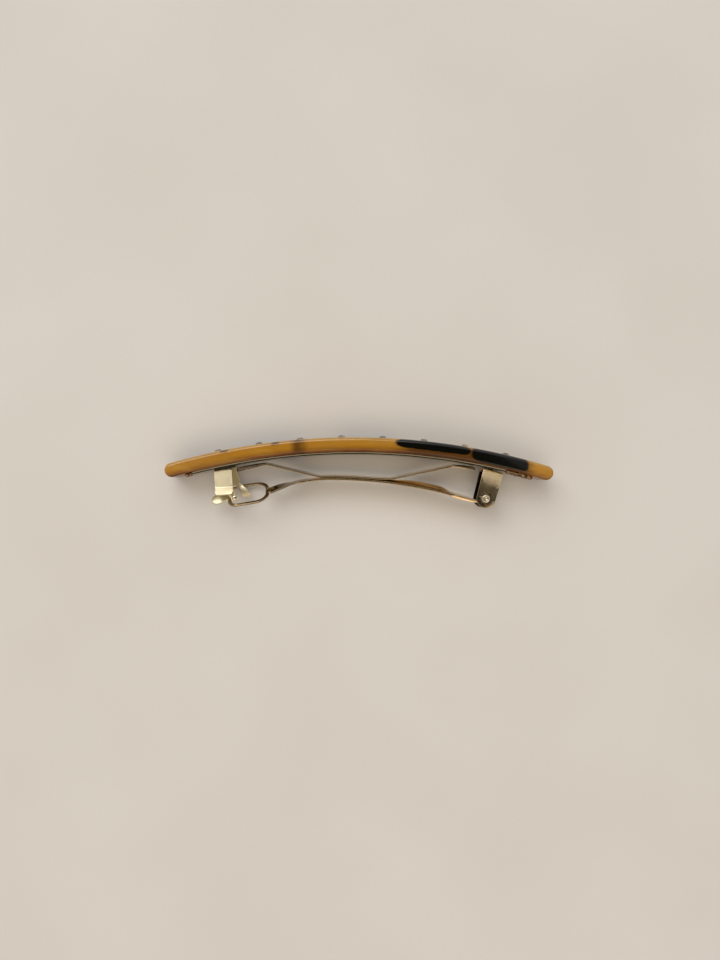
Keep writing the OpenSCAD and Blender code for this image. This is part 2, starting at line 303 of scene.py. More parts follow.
# ---------------------------------------------------------------- materials
def tortoiseshell():
    """Translucent honey acetate with dark blotches laid through its thickness."""
    s = Shader("tortoiseshell_acetate")
    here = s.place()
    wander = s.noise(here, 0.42, 3, 0.55)
    wander_b = s.noise(s.vec("ADD", here, (31, 7, 13)), 0.42, 3, 0.55)
    x, y, z = s.split(here)
    loose = s.ramp(z, 4.0, 8.0, 1.0, 0.0)
    reach_x = s.math("ADD", s.math("MULTIPLY", loose, 5.0), 2.0)
    x = s.math("ADD", x, s.math("MULTIPLY", s.math("SUBTRACT", wander, 0.5), reach_x))
    across = s.math("SUBTRACT", y, ARC_Y / MM)
    radial = s.node("ShaderNodeVectorMath", {0: s.join(s.split(here)[0], across, 0)},
                    out=1, operation="LENGTH")
    depth = s.math("SUBTRACT", radial, (BAR_R - BAR_T / 2) / MM)
    bent = s.math("ADD", depth, s.math("MULTIPLY", s.math("SUBTRACT", wander_b, 0.5), 0.4))
    wander_c = s.noise(s.vec("ADD", here, (5, 43, 17)), 0.38, 3, 0.55)
    reach_z = s.math("MULTIPLY", loose, 7.0)
    z = s.math("ADD", z, s.math("MULTIPLY", s.math("SUBTRACT", wander_c, 0.5), reach_z))
    spot = s.join(x, bent, z)

    def blotch(centre, size, soft):
        """1 inside a blunt-ended blob of that half-size, falling to 0 over the soft margin."""
        local = s.node("ShaderNodeVectorMath", {0: s.vec("SUBTRACT", spot, centre)},
                       out=0, operation="DIVIDE")
        local.node.inputs[1].default_value = size
        squares = s.vec("MULTIPLY", local, local)
        reach = s.math("SQRT", s.node("ShaderNodeVectorMath", {0: squares}, out=1, operation="LENGTH"))
        return s.ramp(reach, 1 - soft, 1 + soft, 1.0, 0.0)

    def largest(values):
        total = values[0]
        for value in values[1:]:
            total = s.math("MAXIMUM", total, value)
        return total

    black = largest([
        blotch((16.9, 0.72, 8.5), (8.4, 1.12, 6.5), 0.05),
        blotch((32.2, 0.34, 8.5), (6.6, 1.6, 6.5), 0.06),
        blotch((2.0, 1.4, 2.2), (5.0, 1.6, 2.9), 0.14),
        blotch((-23.5, 1.4, 2.6), (6.5, 1.7, 2.6), 0.14),
        blotch((-37.5, 1.4, 4.2), (2.6, 1.5, 2.2), 0.16),
    ])
    brown = largest([
        blotch((20.0, -0.3, 8.5), (10.2, 1.7, 7.5), 0.3),
        blotch((32.0, 0.0, 8.5), (7.3, 1.75, 7.0), 0.2),
        blotch((-13.9, 0.2, 8.5), (1.3, 3.0, 3.2), 0.9),
        blotch((-30.7, 1.5, 9.3), (0.9, 0.5, 1.2), 0.6),
        blotch((-19.2, 1.4, 9.4), (1.0, 0.45, 1.2), 0.7),
        blotch((2.0, 1.0, 2.2), (7.4, 2.2, 4.2), 0.4),
        blotch((-23.5, 1.0, 2.6), (9.0, 2.4, 4.0), 0.4),
        blotch((-37.5, 1.2, 4.2), (4.0, 2.0, 3.6), 0.3),
    ])
    cloud = s.noise(here, 0.16, 4, 0.6)
    streak = s.noise(s.vec("MULTIPLY", here, (0.09, 0.7, 0.35)), 1.0, 5, 0.6, 0.6)
    # Painted shade and light: the honey darkens towards the bar's inner long edge and pales towards its
    # outer one.
    honey = s.mix(s.ramp(depth, -1.7, 0.1), (0.13, 0.034, 0.004), (0.40, 0.185, 0.016))
    honey = s.mix(s.ramp(depth, 0.7, 1.6), honey, (0.45, 0.26, 0.045))
    honey = s.mix(s.ramp(cloud, 0.35, 0.72, 0.0, 0.45), honey, (0.30, 0.135, 0.018))
    honey = s.mix(s.ramp(streak, 0.42, 0.75, 0.0, 0.25), honey, (0.52, 0.31, 0.06))
    body = s.mix(s.math("MULTIPLY", brown, 0.86), honey, (0.06, 0.020, 0.004))
    body = s.mix(black, body, (0.0030, 0.0028, 0.0015))
    s.colour(body)
    s.set(IOR=1.49, Specular_IOR_Level=0.22, Coat_Roughness=0.04, Coat_IOR=1.5)
    gloss = s.math("MAXIMUM", s.ramp(depth, -1.6, -1.1, 0.0, 0.2), s.ramp(depth, 0.8, 1.2, 0.0, 1.0))
    s.to(s.bsdf.inputs["Coat Weight"], gloss)
    s.set(Subsurface_Radius=(1.0, 0.5, 0.16), Subsurface_Scale=0.0022)
    s.to(s.bsdf.inputs["Subsurface Weight"], s.ramp(black, 0.0, 0.8, 0.2, 0.01))
    haze = s.noise(here, 2.2, 3, 0.6)
    s.roughness(s.ramp(haze, 0.3, 0.75, 0.10, 0.2))
    scuffs = s.noise(s.vec("MULTIPLY", here, (0.5, 3.0, 9.0)), 1.6, 3, 0.6)
    swell = s.noise(here, 0.35, 2, 0.5)
    s.bump(s.math("ADD", s.math("MULTIPLY", scuffs, 0.05), swell), 0.22, 0.00008)
    return s.material


def plated(name, tint, low, high, grain=(1, 1, 1), grain_depth=0.0, stain=0.35, edge=1.0, side=1.0,
           edge_rough=0.0, light_from=None, line_at=None, fade=None, dark_to=None):
    """Pale gold plating: slight tarnish, hairline wear and a drawn or brushed grain.

    low and high are the ends of its roughness. edge scales the tint of the cut edges, which look
    along Z, and side that of the faces across Z, as painted shade and reflection; edge_rough is
    the edges' extra roughness. The rest is optional, in millimetres, and paints light and shade.
    Past X = light_from the edges are bright, a painted highlight, and closer to the bar's arc centre
    than line_at they are dark, a painted dark line. Up to X = dark_to the faces across Z are dark,
    painted shade. fade is a lower Y, a higher Y, and the share of the tint that is left below the
    lower, painted shade on the lower part.
    """
    s = Shader(name)
    here = s.place()
    patches = s.noise(here, 0.55, 4, 0.6)
    specks = s.noise(here, 5.5, 3, 0.6)
    lines = s.noise(s.vec("MULTIPLY", here, grain), 1.0, 4, 0.65)
    dull = tuple(c * k for c, k in zip(tint, (0.72, 0.64, 0.5)))
    colour = s.mix(s.ramp(patches, 0.4, 0.75, 0.0, stain), tint, dull)
    colour = s.mix(s.ramp(specks, 0.62, 0.78, 0.0, stain), colour, dull)
    colour = s.mix(s.ramp(lines, 0.5, 0.8, 0.0, 0.35 * bool(grain_depth)), colour, dull)
    # Painted shade and reflection: the tint is scaled by which way a face looks, edge for the cut edges
    # and side for the faces across Z.
    facing = s.math("ABSOLUTE", s.split(s.node("ShaderNodeNewGeometry", out=3))[2])
    # Painted highlight: past X = light_from the edges are made brighter.
    if light_from is not None:
        edge = s.ramp(s.split(here)[0], light_from - 0.5, light_from + 0.5, edge, 1.15)
    # Painted dark line: edges closer to the arc centre than line_at are made almost black, painted shade.
    if line_at is not None:
        across = s.math("SUBTRACT", s.split(here)[1], ARC_Y / MM)
        flat = s.join(s.split(here)[0], across, 0)
        radial = s.node("ShaderNodeVectorMath", {0: flat}, out=1, operation="LENGTH")
        edge = s.ramp(radial, line_at - 0.05, line_at + 0.05, 0.05, edge)
    # Painted shade: faces across Z are darkened up to X = dark_to.
    if dark_to is not None:
        side = s.ramp(s.split(here)[0], dark_to - 1.5, dark_to + 1.5, 0.3 * side, side)
    tone = s.ramp(facing, 0.45, 0.8, side, edge)
    # Painted shade: the tint falls off below the fade band in Y.
    if fade is not None:
        tone = s.math("MULTIPLY", tone, s.ramp(s.split(here)[1], fade[0], fade[1], fade[2], 1.0))
    s.colour(s.vec("MULTIPLY", colour, s.join(tone, tone, tone)))
    s.set(Metallic=1.0)
    worn = s.math("ADD", s.ramp(patches, 0.3, 0.75, low, high), s.ramp(lines, 0.3, 0.8, 0.0, 0.12))
    s.roughness(s.math("ADD", worn, s.ramp(facing, 0.45, 0.8, 0.0, edge_rough)))
    ripple = s.noise(here, 0.8, 2, 0.5)
    height = s.math("ADD", s.math("MULTIPLY", lines, grain_depth), s.math("MULTIPLY", ripple, 0.25))
    s.bump(height, 0.2, 0.00003)
    return s.material


def crystal_glass():
    """Clear lead glass with a trace of haze."""
    s = Shader("crystal_glass")
    s.set(Transmission_Weight=1.0, IOR=1.6)
    haze = s.noise(s.place(), 3.0, 3, 0.5)
    s.roughness(s.ramp(haze, 0.3, 0.8, 0.0, 0.03))
    s.colour(s.mix(s.ramp(haze, 0.4, 0.7), (0.98, 0.98, 0.96), (0.92, 0.93, 0.93)))
    return s.material


def foil():
    """Silver foil behind a crystal."""
    s = Shader("crystal_foil")
    wear = s.noise(s.place(), 4.0, 3, 0.6)
    s.colour(s.mix(s.ramp(wear, 0.4, 0.8), (0.97, 0.96, 0.93), (0.88, 0.85, 0.78)))
    s.set(Metallic=1.0)
    s.roughness(s.ramp(wear, 0.3, 0.8, 0.4, 0.6))
    return s.material


def amber_glue():
    """Set adhesive: glossy brown-amber with dark specks and paler cloudy parts."""
    s = Shader("amber_glue")
    here = s.place()
    clouds = s.noise(here, 0.9, 4, 0.6)
    specks = s.noise(here, 2.6, 2, 0.5)
    colour = s.mix(s.ramp(clouds, 0.35, 0.7), (0.10, 0.036, 0.008), (0.42, 0.20, 0.05))
    s.colour(s.mix(s.ramp(specks, 0.52, 0.58), colour, (0.012, 0.008, 0.004)))
    s.set(IOR=1.5, Subsurface_Weight=0.25, Subsurface_Radius=(1.0, 0.45, 0.15), Subsurface_Scale=0.001)
    s.roughness(s.ramp(clouds, 0.3, 0.8, 0.12, 0.35))
    s.bump(s.math("ADD", clouds, s.math("MULTIPLY", specks, 0.6)), 0.6, 0.00012)
    return s.material


def film_resin():
    """Thin dark line of set adhesive between plate and bar."""
    s = Shader("film_resin")
    clouds = s.noise(s.place(), 0.5, 3, 0.5)
    s.colour(s.mix(s.ramp(clouds, 0.3, 0.7), (0.05, 0.018, 0.005), (0.12, 0.05, 0.012)))
    s.roughness(s.ramp(clouds, 0.3, 0.8, 0.3, 0.5))
    s.bump(clouds, 0.2, 0.00002)
    return s.material


def paper():
    """Pale warm paper with fine fibres and broad, faint clouds."""
    s = Shader("pale_paper")
    here = s.place()
    fibre = s.noise(here, 1.3, 5, 0.65)
    tone = s.noise(here, 0.02, 2, 0.5)
    colour = s.mix(s.ramp(tone, 0.3, 0.7), (0.640, 0.612, 0.572), (0.670, 0.645, 0.607))
    s.colour(s.mix(s.ramp(fibre, 0.3, 0.8, 0.0, 0.12), colour, (0.60, 0.56, 0.50)))
    s.roughness(s.ramp(fibre, 0.2, 0.8, 0.75, 0.9))
    s.bump(fibre, 0.25, 0.00006)
    return s.material


PALE_GOLD = (0.86, 0.77, 0.54)
ACETATE = tortoiseshell()
# Plate plating with painted shade: darker edges and faces, and a painted dark line along the outer edge.
PLATE_METAL = plated("plated_plate", PALE_GOLD, 0.08, 0.18, (0.5, 9, 9), 0.1, 0.3, edge=0.85, side=0.7,
                     edge_rough=0.32, line_at=PLATE_OUT_R / MM - 0.15)
# Ear plating with painted shade: darker towards the lower part of each ear.
EAR_METAL = plated("plated_ears", (0.76, 0.60, 0.36), 0.10, 0.18, (9, 0.7, 9), 0.5, 0.5,
                   fade=(-3.9, -2.3, 0.5))
CATCH_METAL = plated("plated_catch", (0.70, 0.62, 0.42), 0.3, 0.36, (3, 0.7, 3), 0.0, 0.1)
NOSE_METAL = plated("plated_noses", (0.60, 0.52, 0.36), 0.06, 0.14, (3, 3, 3), 0.1)
# Arm and bow plating with painted light: darker edges, dark faces at the left end, and a painted highlight
# on the edges past X = 21.5 mm.
ARM_METAL = plated("plated_arm", (0.78, 0.60, 0.36), 0.05, 0.12, (0.4, 9, 9), 0.1, 0.3, edge=0.35,
                   edge_rough=0.12, light_from=21.5, dark_to=-12.0)
# Loop plating with painted shade: darker edges and faces.
LOOP_METAL = plated("plated_loop", (0.62, 0.48, 0.30), 0.06, 0.14, (3, 3, 3), 0.1, 0.3, edge=0.55,
                    side=0.9)
# Painted shade: a near-black plating for parts that stand in shade, the bow's flanges and the far ear.
PAINTED_SHADE_METAL = plated("painted_shade_plating", (0.12, 0.10, 0.07), 0.06, 0.12, (3, 3, 3), 0.1)
RIVET_METAL = plated("rivet_metal", (0.62, 0.54, 0.40), 0.08, 0.18, (3, 3, 3), 0.2)
GLASS = crystal_glass()
FOIL = foil()
GLUE = amber_glue()
FILM = film_resin()


# ---------------------------------------------------------------- the acetate bar
def bar_outline(inset):
    """Points of the bar's outline in X and Y, as matching lists for the two long sides, end to end."""
    nose = BAR_T / 2
    mid_r = BAR_R - nose
    end = math.asin((BAR_LEN / 2 - nose) / mid_r)
    radius = nose - inset
    outer, inner = [], []
    steps_nose, steps_side = 10, 150
    for i in range(steps_nose):
        turn = math.pi / 2 * (1 - i / steps_nose)
        outer.append((-end, radius * math.cos(turn), -radius * math.sin(turn)))
    for i in range(steps_side + 1):
        outer.append((end * (2 * i / steps_side - 1), radius, 0.0))
    for i in range(steps_nose):
        turn = math.pi / 2 * (i + 1) / steps_nose
        outer.append((end, radius * math.cos(turn), radius * math.sin(turn)))
    for angle, up, along in outer:
        inner.append((angle, -up, along))

    def spot(angle, up, along):
        radial = Vector((math.sin(angle), math.cos(angle)))
        tangent = Vector((math.cos(angle), -math.sin(angle)))
        base = arc_point(mid_r, angle)
        return base + radial * up + tangent * along

    return [spot(*p) for p in outer], [spot(*p) for p in inner]


def build_bar():
    """The bar as a stack of outlines that shrink towards its two flat long edges."""
    edge = 0.8 * MM
    steps = 8
    low = [(edge * (1 - math.cos(math.pi / 2 * i / steps)), edge * (1 - math.sin(math.pi / 2 * i / steps)))
           for i in range(steps + 1)]
    levels = low + [(BAR_W * k / 4, 0.0) for k in (1, 2, 3)]
    levels += [(BAR_W - z, inset) for z, inset in reversed(low)]
    verts, faces = [], []
    for z, inset in levels:
        outer, inner = bar_outline(inset)
        ring = outer + list(reversed(inner[1:-1]))
        verts += [(p.x, p.y, BAR_LOW[2] + z) for p in ring]
    size = len(verts) // len(levels)
    long_side = len(outer)
    for i in range(len(levels) - 1):
        for k in range(size):
            n = (k + 1) % size
            faces.append((i * size + k, (i + 1) * size + k, (i + 1) * size + n, i * size + n))
    for base, flip in ((0, True), ((len(levels) - 1) * size, False)):
        for k in range(long_side - 1):
            a, b = base + k, base + k + 1
            c, d = base + (size - k - 1) % size, base + (size - k) % size
            corners = [a, b] + ([c] if b != c else []) + ([d] if k else [])
            faces.append(tuple(reversed(corners)) if not flip else tuple(corners))
    bar = add_piece("bar_of_acetate", verts, faces, ACETATE, "clip", ["acetate_bar"])
    fix_normals(bar.data)


# ---------------------------------------------------------------- the crystals
def build_crystal(number):
    """Foil-backed round stone: table, star, kite and girdle facets above, a foiled pavilion below."""
    node = f"crystal_{number}"
    low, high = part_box(node)
    centre_x = (low[0] + high[0]) / 2
    angle = math.asin(centre_x / (BAR_R + 0.1 * MM))
    girdle_r, table_r = 0.9 * MM, 0.5 * MM
    mid_r = 0.75 * MM
    top, middle, girdle_top, girdle_low, culet = 0.64, 0.46, 0.2, 0.1, -0.55
    turn = random.Random(number).uniform(0, 45)

    def ring(radius, height, count, offset):
        steps = [math.radians(turn + offset + 360 * i / count) for i in range(count)]
        return [(radius * math.cos(a), radius * math.sin(a), height * MM) for a in steps]

    table = ring(table_r, top, 8, 0)
    kites = ring(mid_r * 0.93, middle, 8, 22.5)
    upper = ring(girdle_r, girdle_top, 16, 0)
    lower = ring(girdle_r, girdle_low, 16, 0)
    verts = table + kites + upper + lower + [(0, 0, culet * MM)]
    t, k, u, g, tip = 0, 8, 16, 32, 48
    faces = [tuple(range(8))]
    for i in range(8):
        n = (i + 1) % 8
        faces.append((t + i, k + i, t + n))
        faces.append((k + i, u + 2 * i, u + 2 * i + 1))
        faces.append((k + i, u + 2 * i + 1, u + (2 * i + 2) % 16))
        faces.append((k + i, t + i, k + (i - 1) % 8, u + 2 * i))
    for i in range(16):
        n = (i + 1) % 16
        faces.append((u + i, g + i, g + n, u + n))
    foil_from = len(faces)
    faces += [(g + i, tip, g + (i + 1) % 16) for i in range(16)]
    tilt = Matrix.Rotation(math.radians(random.Random(number + 20).uniform(-2.5, 2.5)), 4, "X")
    seat = arc_point(BAR_R, angle)
    turn_up = Matrix.Rotation(-angle, 4, "Z") @ Matrix.Rotation(-math.pi / 2, 4, "X") @ tilt
    where = Matrix.Translation((seat.x, seat.y, MID_Z)) @ turn_up
    verts = [where @ Vector(v) for v in verts]
    stone = add_piece(f"stone_{number}", verts, faces, [GLASS, FOIL], "clip", [node], False)
    for i, polygon in enumerate(stone.data.polygons):
        polygon.material_index = int(i >= foil_from)
    fix_normals(stone.data)


# ---------------------------------------------------------------- arm, loop and bow
ARM_TOP = Vector((-6.2 * MM, CROWN - 9.4 * MM))
NECK_X = -20.3 * MM
ARM_HALF, NECK_HALF = 2.6 * MM, 1.05 * MM
BARREL_R = 1.2 * MM
ARM_ROOT = Vector((PIN.x - 0.25 * MM, PIN.y - BARREL_R + ARM_T / 2))
ARM_FLAT_X = 21.8 * MM
BODY_ARC_R, NECK_ARC_R = 113 * MM, 36 * MM
BODY_ROLL = math.radians(5)
LOOP_ROLL = math.radians(34)
LOOP_PITCH = math.radians(10)


def arm_arc(x):
    """The two arcs of the arm's middle line, which meet at its top."""
    radius = BODY_ARC_R if x > ARM_TOP.x else NECK_ARC_R
    return ARM_TOP.y - radius + math.sqrt(radius ** 2 - (x - ARM_TOP.x) ** 2)


def arm_y(x):
    """Height of the arm's middle line: two arcs, then straight to the hinge."""
    if x <= ARM_FLAT_X:
        return arm_arc(x)
    start = arm_arc(ARM_FLAT_X)
    return start + (x - ARM_FLAT_X) / (ARM_ROOT.x - ARM_FLAT_X) * (ARM_ROOT.y - start)


def arm_channel(x):
    """Height of the arm's middle above its edges: a channel that is deepest beside the hinge."""
    mm = x / MM
    rise = 0.1 + 0.9 * ease(2.5, 14.5, mm)
    return rise * (1 - ease(18.5, 22.5, mm)) * ease(-18, -14, mm) * MM


def build_arm():
    """The sprung arm: a twisted neck, a channelled body and a barrel rolled round the pin."""
    rings = []
    steps = 150
    for i in range(steps + 1):
        x = NECK_X - 0.3 * MM + (ARM_ROOT.x - NECK_X + 0.3 * MM) * i / steps
        mm = x / MM
        roll = BODY_ROLL * (1 - ease(25, 28.6, mm))
        roll += (LOOP_ROLL - BODY_ROLL) * (1 - ease(-20.3, -15.2, mm))
        half = NECK_HALF + (ARM_HALF - NECK_HALF) * ease(-19.7, -13.5, mm)
        slope = math.atan((arm_y(x + 0.05 * MM) - arm_y(x - 0.05 * MM)) / (0.1 * MM))
        thick = ARM_T * (1 + 0.6 * ease(20.5, 22, mm) * (1 - ease(26.5, 28, mm)))
        outline = round_profile(half, thick, 0.05 * MM, 12, arm_channel(x))
        rings.append(strip_ring(x, arm_y(x), slope, roll, outline))
    curl_r = BARREL_R - ARM_T / 2
    curl_steps = 40
    outline = round_profile(ARM_HALF, ARM_T, 0.05 * MM, 12)
    for i in range(1, curl_steps + 1):
        turn = math.radians(-98 + 318 * i / curl_steps)
        centre = Vector((PIN.x + curl_r * math.cos(turn), PIN.y + curl_r * math.sin(turn)))
        inward = Vector((-math.cos(turn), -math.sin(turn)))
        rings.append([(centre.x + inward.x * h, centre.y + inward.y * h, MID_Z + w) for w, h in outline])
    verts, faces = loft(rings)
    add_piece("arm_strip", verts, faces, ARM_METAL, "arm", ["clasp_arm"])


def loop_place(u, v, lift=0.0):
    """Point on the loop's sheet: u from the neck outwards, v across with the near side positive."""
    along = Vector((-math.cos(LOOP_PITCH), -math.sin(LOOP_PITCH), 0))
    up = Vector((-math.sin(LOOP_PITCH), math.cos(LOOP_PITCH), 0))
    across = Vector((0, 0, 1)) * math.cos(LOOP_ROLL) - up * math.sin(LOOP_ROLL)
    normal = up * math.cos(LOOP_ROLL) + Vector((0, 0, 1)) * math.sin(LOOP_ROLL)
    return Vector((NECK_X, arm_arc(NECK_X), MID_Z)) + along * u + across * v + normal * lift


def build_loop():
    """The loop as one rounded strand swept round a rounded oblong, and a spoon-ended thumb tab."""
    length, width, strand = 9.7 * MM, 8.3 * MM, 0.85 * MM
    start = 0.6 * MM
    half = width / 2 - strand / 2
    left, right = start + strand / 2, start + length - strand / 2
    path = []
    for cu, cv, a in ((right, half, 0), (left, half, 90), (left, -half, 180), (right, -half, 270)):
        corner = (2.2 if cu == right else 3.2) * MM - strand / 2
        for k in range(13):
            turn = math.radians(a + 90 * k / 12)
            middle = (cu - math.copysign(corner, cu - (left + right) / 2), cv - math.copysign(corner, cv))
            path.append((middle[0] + corner * math.cos(turn), middle[1] + corner * math.sin(turn), turn))
    outline = round_profile(strand / 2, ARM_T, 0.15 * MM, 4)
    rings = []
    for u, v, turn in path:
        ring = []
        for w, h in outline:
            ring.append(loop_place(u + w * math.cos(turn), v + w * math.sin(turn), h))
        rings.append(ring)
    verts, faces = loft(rings, closed=True)

    twist = math.radians(26)

    def add_strip(stations):
        rings = []
        for u, half_w, lift in stations:
            section = round_profile(half_w, ARM_T, min(0.14 * MM, half_w * 0.6), 6, 0.12 * half_w)
            turn = twist * ease(10.4, 12.4, u / MM)
            rings.append([loop_place(u, w * math.cos(turn) + h * math.sin(turn),
                                     h * math.cos(turn) - w * math.sin(turn) + lift)
                          for w, h in section])
        add_tube(verts, faces, rings)

    end = 14.2 * MM
    tab_half = 1.2 * MM
    tab = []
    for i in range(31):
        u = (9.7 + 4.5 * i / 30) * MM
        reach = max(0.0, (u - (end - tab_half)) / tab_half)
        half_w = tab_half * math.sqrt(max(0.02, 1 - reach ** 2))
        tab.append((u, half_w, -0.2 * MM * ease(10.6, 14.2, u / MM)))
    tab_from = len(faces)
    add_strip(tab)
    tab_to = len(faces)
    add_strip([(-0.4 * MM, 1.0 * MM, 0), (0.4 * MM, 1.05 * MM, 0), (1.3 * MM, 1.35 * MM, 0)])
    loop = add_piece("arm_loop", verts, faces, [LOOP_METAL, CATCH_METAL], "arm", ["clasp_loop"])
    for polygon in loop.data.polygons[tab_from:tab_to]:
        polygon.material_index = 1


def add_flange(verts, faces, tip, knee, height, z, sink):
    """Turned-up edge at an end of the bow: a thin lens that is highest near the tip."""
    rings = []
    for k in range(15):
        t = 0.03 + 0.94 * k / 14
        foot = tip + (knee - tip) * t - Vector((0, sink))
        top = foot.y + BOW_T / 2 + height * (1 - t * t)
        low, thick, soft = foot.y - BOW_T * 0.3, 0.3 * MM, 0.08 * MM
        rings.append([(foot.x, low, z), (foot.x, low, z + thick), (foot.x, top - soft, z + thick),
                      (foot.x, top, z + thick - soft), (foot.x, top, z + soft), (foot.x, top - soft, z)])
    add_tube(verts, faces, rings)


def build_bow():
    """The sprung strip between plate and arm, kneed under the plate and resting on the arm."""
    lift = ARM_T / 2 + BOW_T / 2 + 0.06 * MM
    seat_l, seat_r = -9.2 * MM, 7.6 * MM
    end_l, knee_l = Vector((-28.4 * MM, CROWN - 7.85 * MM)), Vector((-21.4 * MM, CROWN - 6.1 * MM))
    end_r, knee_r = Vector((27.0 * MM, CROWN - 7.0 * MM)), Vector((21.8 * MM, CROWN - 6.25 * MM))
    seats = [Vector((x, arm_y(x) + arm_channel(x) + lift)) for x in (seat_l, seat_r)]
    points = [end_l, knee_l] + seats + [knee_r, end_r]

    def raw(x):
        if seat_l <= x <= seat_r:
            return arm_y(x) + arm_channel(x) + lift
        for a, b in zip(points, points[1:]):
            if x <= b.x or b is points[-1]:
                return a.y + (b.y - a.y) * (x - a.x) / (b.x - a.x)

    def smooth(x):
        taps = [raw(x + k * 0.23 * MM) for k in range(-3, 4)]
        return sum(taps) / len(taps)

    rings = []
    steps = 190
    for i in range(steps + 1):
        x = points[0].x + (points[-1].x - points[0].x) * i / steps
        slope = math.atan((smooth(x + 0.1 * MM) - smooth(x - 0.1 * MM)) / (0.2 * MM))
        from_end = min(i, steps - i) / 8
        half = 2.0 * MM * math.sqrt(max(0.1, 1 - max(0, 1 - from_end) ** 2))
        outline = round_profile(half, BOW_T, 0.05 * MM, 8)
        rings.append(strip_ring(x, smooth(x), slope, BODY_ROLL, outline))
    verts, faces = loft(rings)
    # The flanges are painted shade: they wear the near-black plating, standing for the dark gap between
    # plate and bow.
    flanges = []
    for tip, knee, height in ((end_l, knee_l, 0.5 * MM), (end_r, knee_r, 0.25 * MM)):
        for z, sink in ((MID_Z - 2.0 * MM, -0.16 * MM), (MID_Z + 1.7 * MM, 0.16 * MM)):
            flange_from = len(faces)
            add_flange(verts, faces, tip, knee, height, z, sink)
            flanges += range(flange_from, len(faces))
    bow = add_piece("bow_strip", verts, faces, [ARM_METAL, PAINTED_SHADE_METAL], "clip", ["tension_bow"])
    for i in flanges:
        bow.data.polygons[i].material_index = 1
    knee = arc_point(PLATE_IN_R - 0.6 * MM, 0)
    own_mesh(bow)


# ---------------------------------------------------------------- hinge bracket and pin
def build_bracket():
    """One strip folded into a base under the plate and two ears, each bored for the pin."""
    lean = math.radians(15)
    half_w, end_w, drop = 2.3 * MM, 2.15 * MM, 6.73 * MM
    fold = 0.5 * MM
    mid = 3.15 * MM
    quarter = fold * math.pi / 2
    flat = mid - fold
    wall = drop - fold + 0.25 * MM
    up = Vector((math.sin(lean), math.cos(lean), 0))
    along = Vector((math.cos(lean), -math.sin(lean), 0))
    top = Vector((PIN.x, PIN.y, MID_Z)) + up * drop

    def place(x, s):
        side = 1 if s >= 0 else -1
        d = abs(s)
        if d <= flat:
            z, y = d, 0.0
        elif d <= flat + quarter:
            turn = (d - flat) / fold
            z, y = flat + fold * math.sin(turn), -fold * (1 - math.cos(turn))
        else:
            z, y = mid, -fold - (d - flat - quarter)
            z += 0.40 * MM * min(1.0, (d - flat - quarter) / (2.2 * MM)) - 0.15 * MM if side > 0 else 0.0
        return top + along * x + up * (y - 0.25 * MM) + Vector((0, 0, side * z))

    centre = flat + quarter + (drop - 0.25 * MM - fold)
    taper = centre - 5 * MM
    outer = [(-half_w, -taper)] + circle_points(0, -centre, end_w, 180, 360, 25)
    outer += [(half_w, -taper), (half_w, taper)]
    outer += circle_points(0, centre, end_w, 0, 180, 25) + [(-half_w, taper)]
    holes = [circle_points(0, side * centre, 0.7 * MM, 0, 360, 28) for side in (-1, 1)]
    cuts = [side * (flat + quarter * k / 8) for side in (-1, 1) for k in range(9)]
    cuts += [side * (flat + quarter + wall * k / 6) for side in (-1, 1) for k in range(1, 5)]
    bracket = bent_sheet("bracket_with_ears", outer, holes, cuts, place, SHEET_T, 0.07 * MM,
                         [EAR_METAL, PAINTED_SHADE_METAL], "clip", ["hinge_bracket"])
    # Painted shade: the far ear wears the near-black plating.
    for polygon in bracket.data.polygons:
        polygon.material_index = int(polygon.center.z < MID_Z - mid + 0.3 * MM)


def build_pin():
    """Tubular rivet: a turned profile with a rolled, dished head at each end."""
    shank, head, half = 0.70, 1.0, 3.4
    profile = [(0.0, half - 0.05), (0.34, half - 0.05), (0.42, half + 0.02), (0.50, half + 0.22),
               (0.60, half + 0.33), (0.74, half + 0.36), (0.88, half + 0.29), (0.97, half + 0.16),
               (head, half + 0.04), (head - 0.04, half), (shank, half)]
    profile += [(r, -z) for r, z in reversed(profile)]
    steps = 40
    verts = []
    for i in range(steps):
        turn = 2 * math.pi * i / steps
        for r, z in profile:
            verts.append(PIN + Vector((r * math.cos(turn), r * math.sin(turn), z)) * MM)
    size = len(profile)
    faces = []
    for i in range(steps):
        for k in range(size - 1):
            a, b = i * size + k, (i + 1) % steps * size + k
            faces.append((a, b, b + 1, a + 1))
    pin = add_piece("rivet_of_hinge", verts, faces, RIVET_METAL, "clip", ["hinge_pin"])
    fix_normals(pin.data, merge=0.0001 * MM)


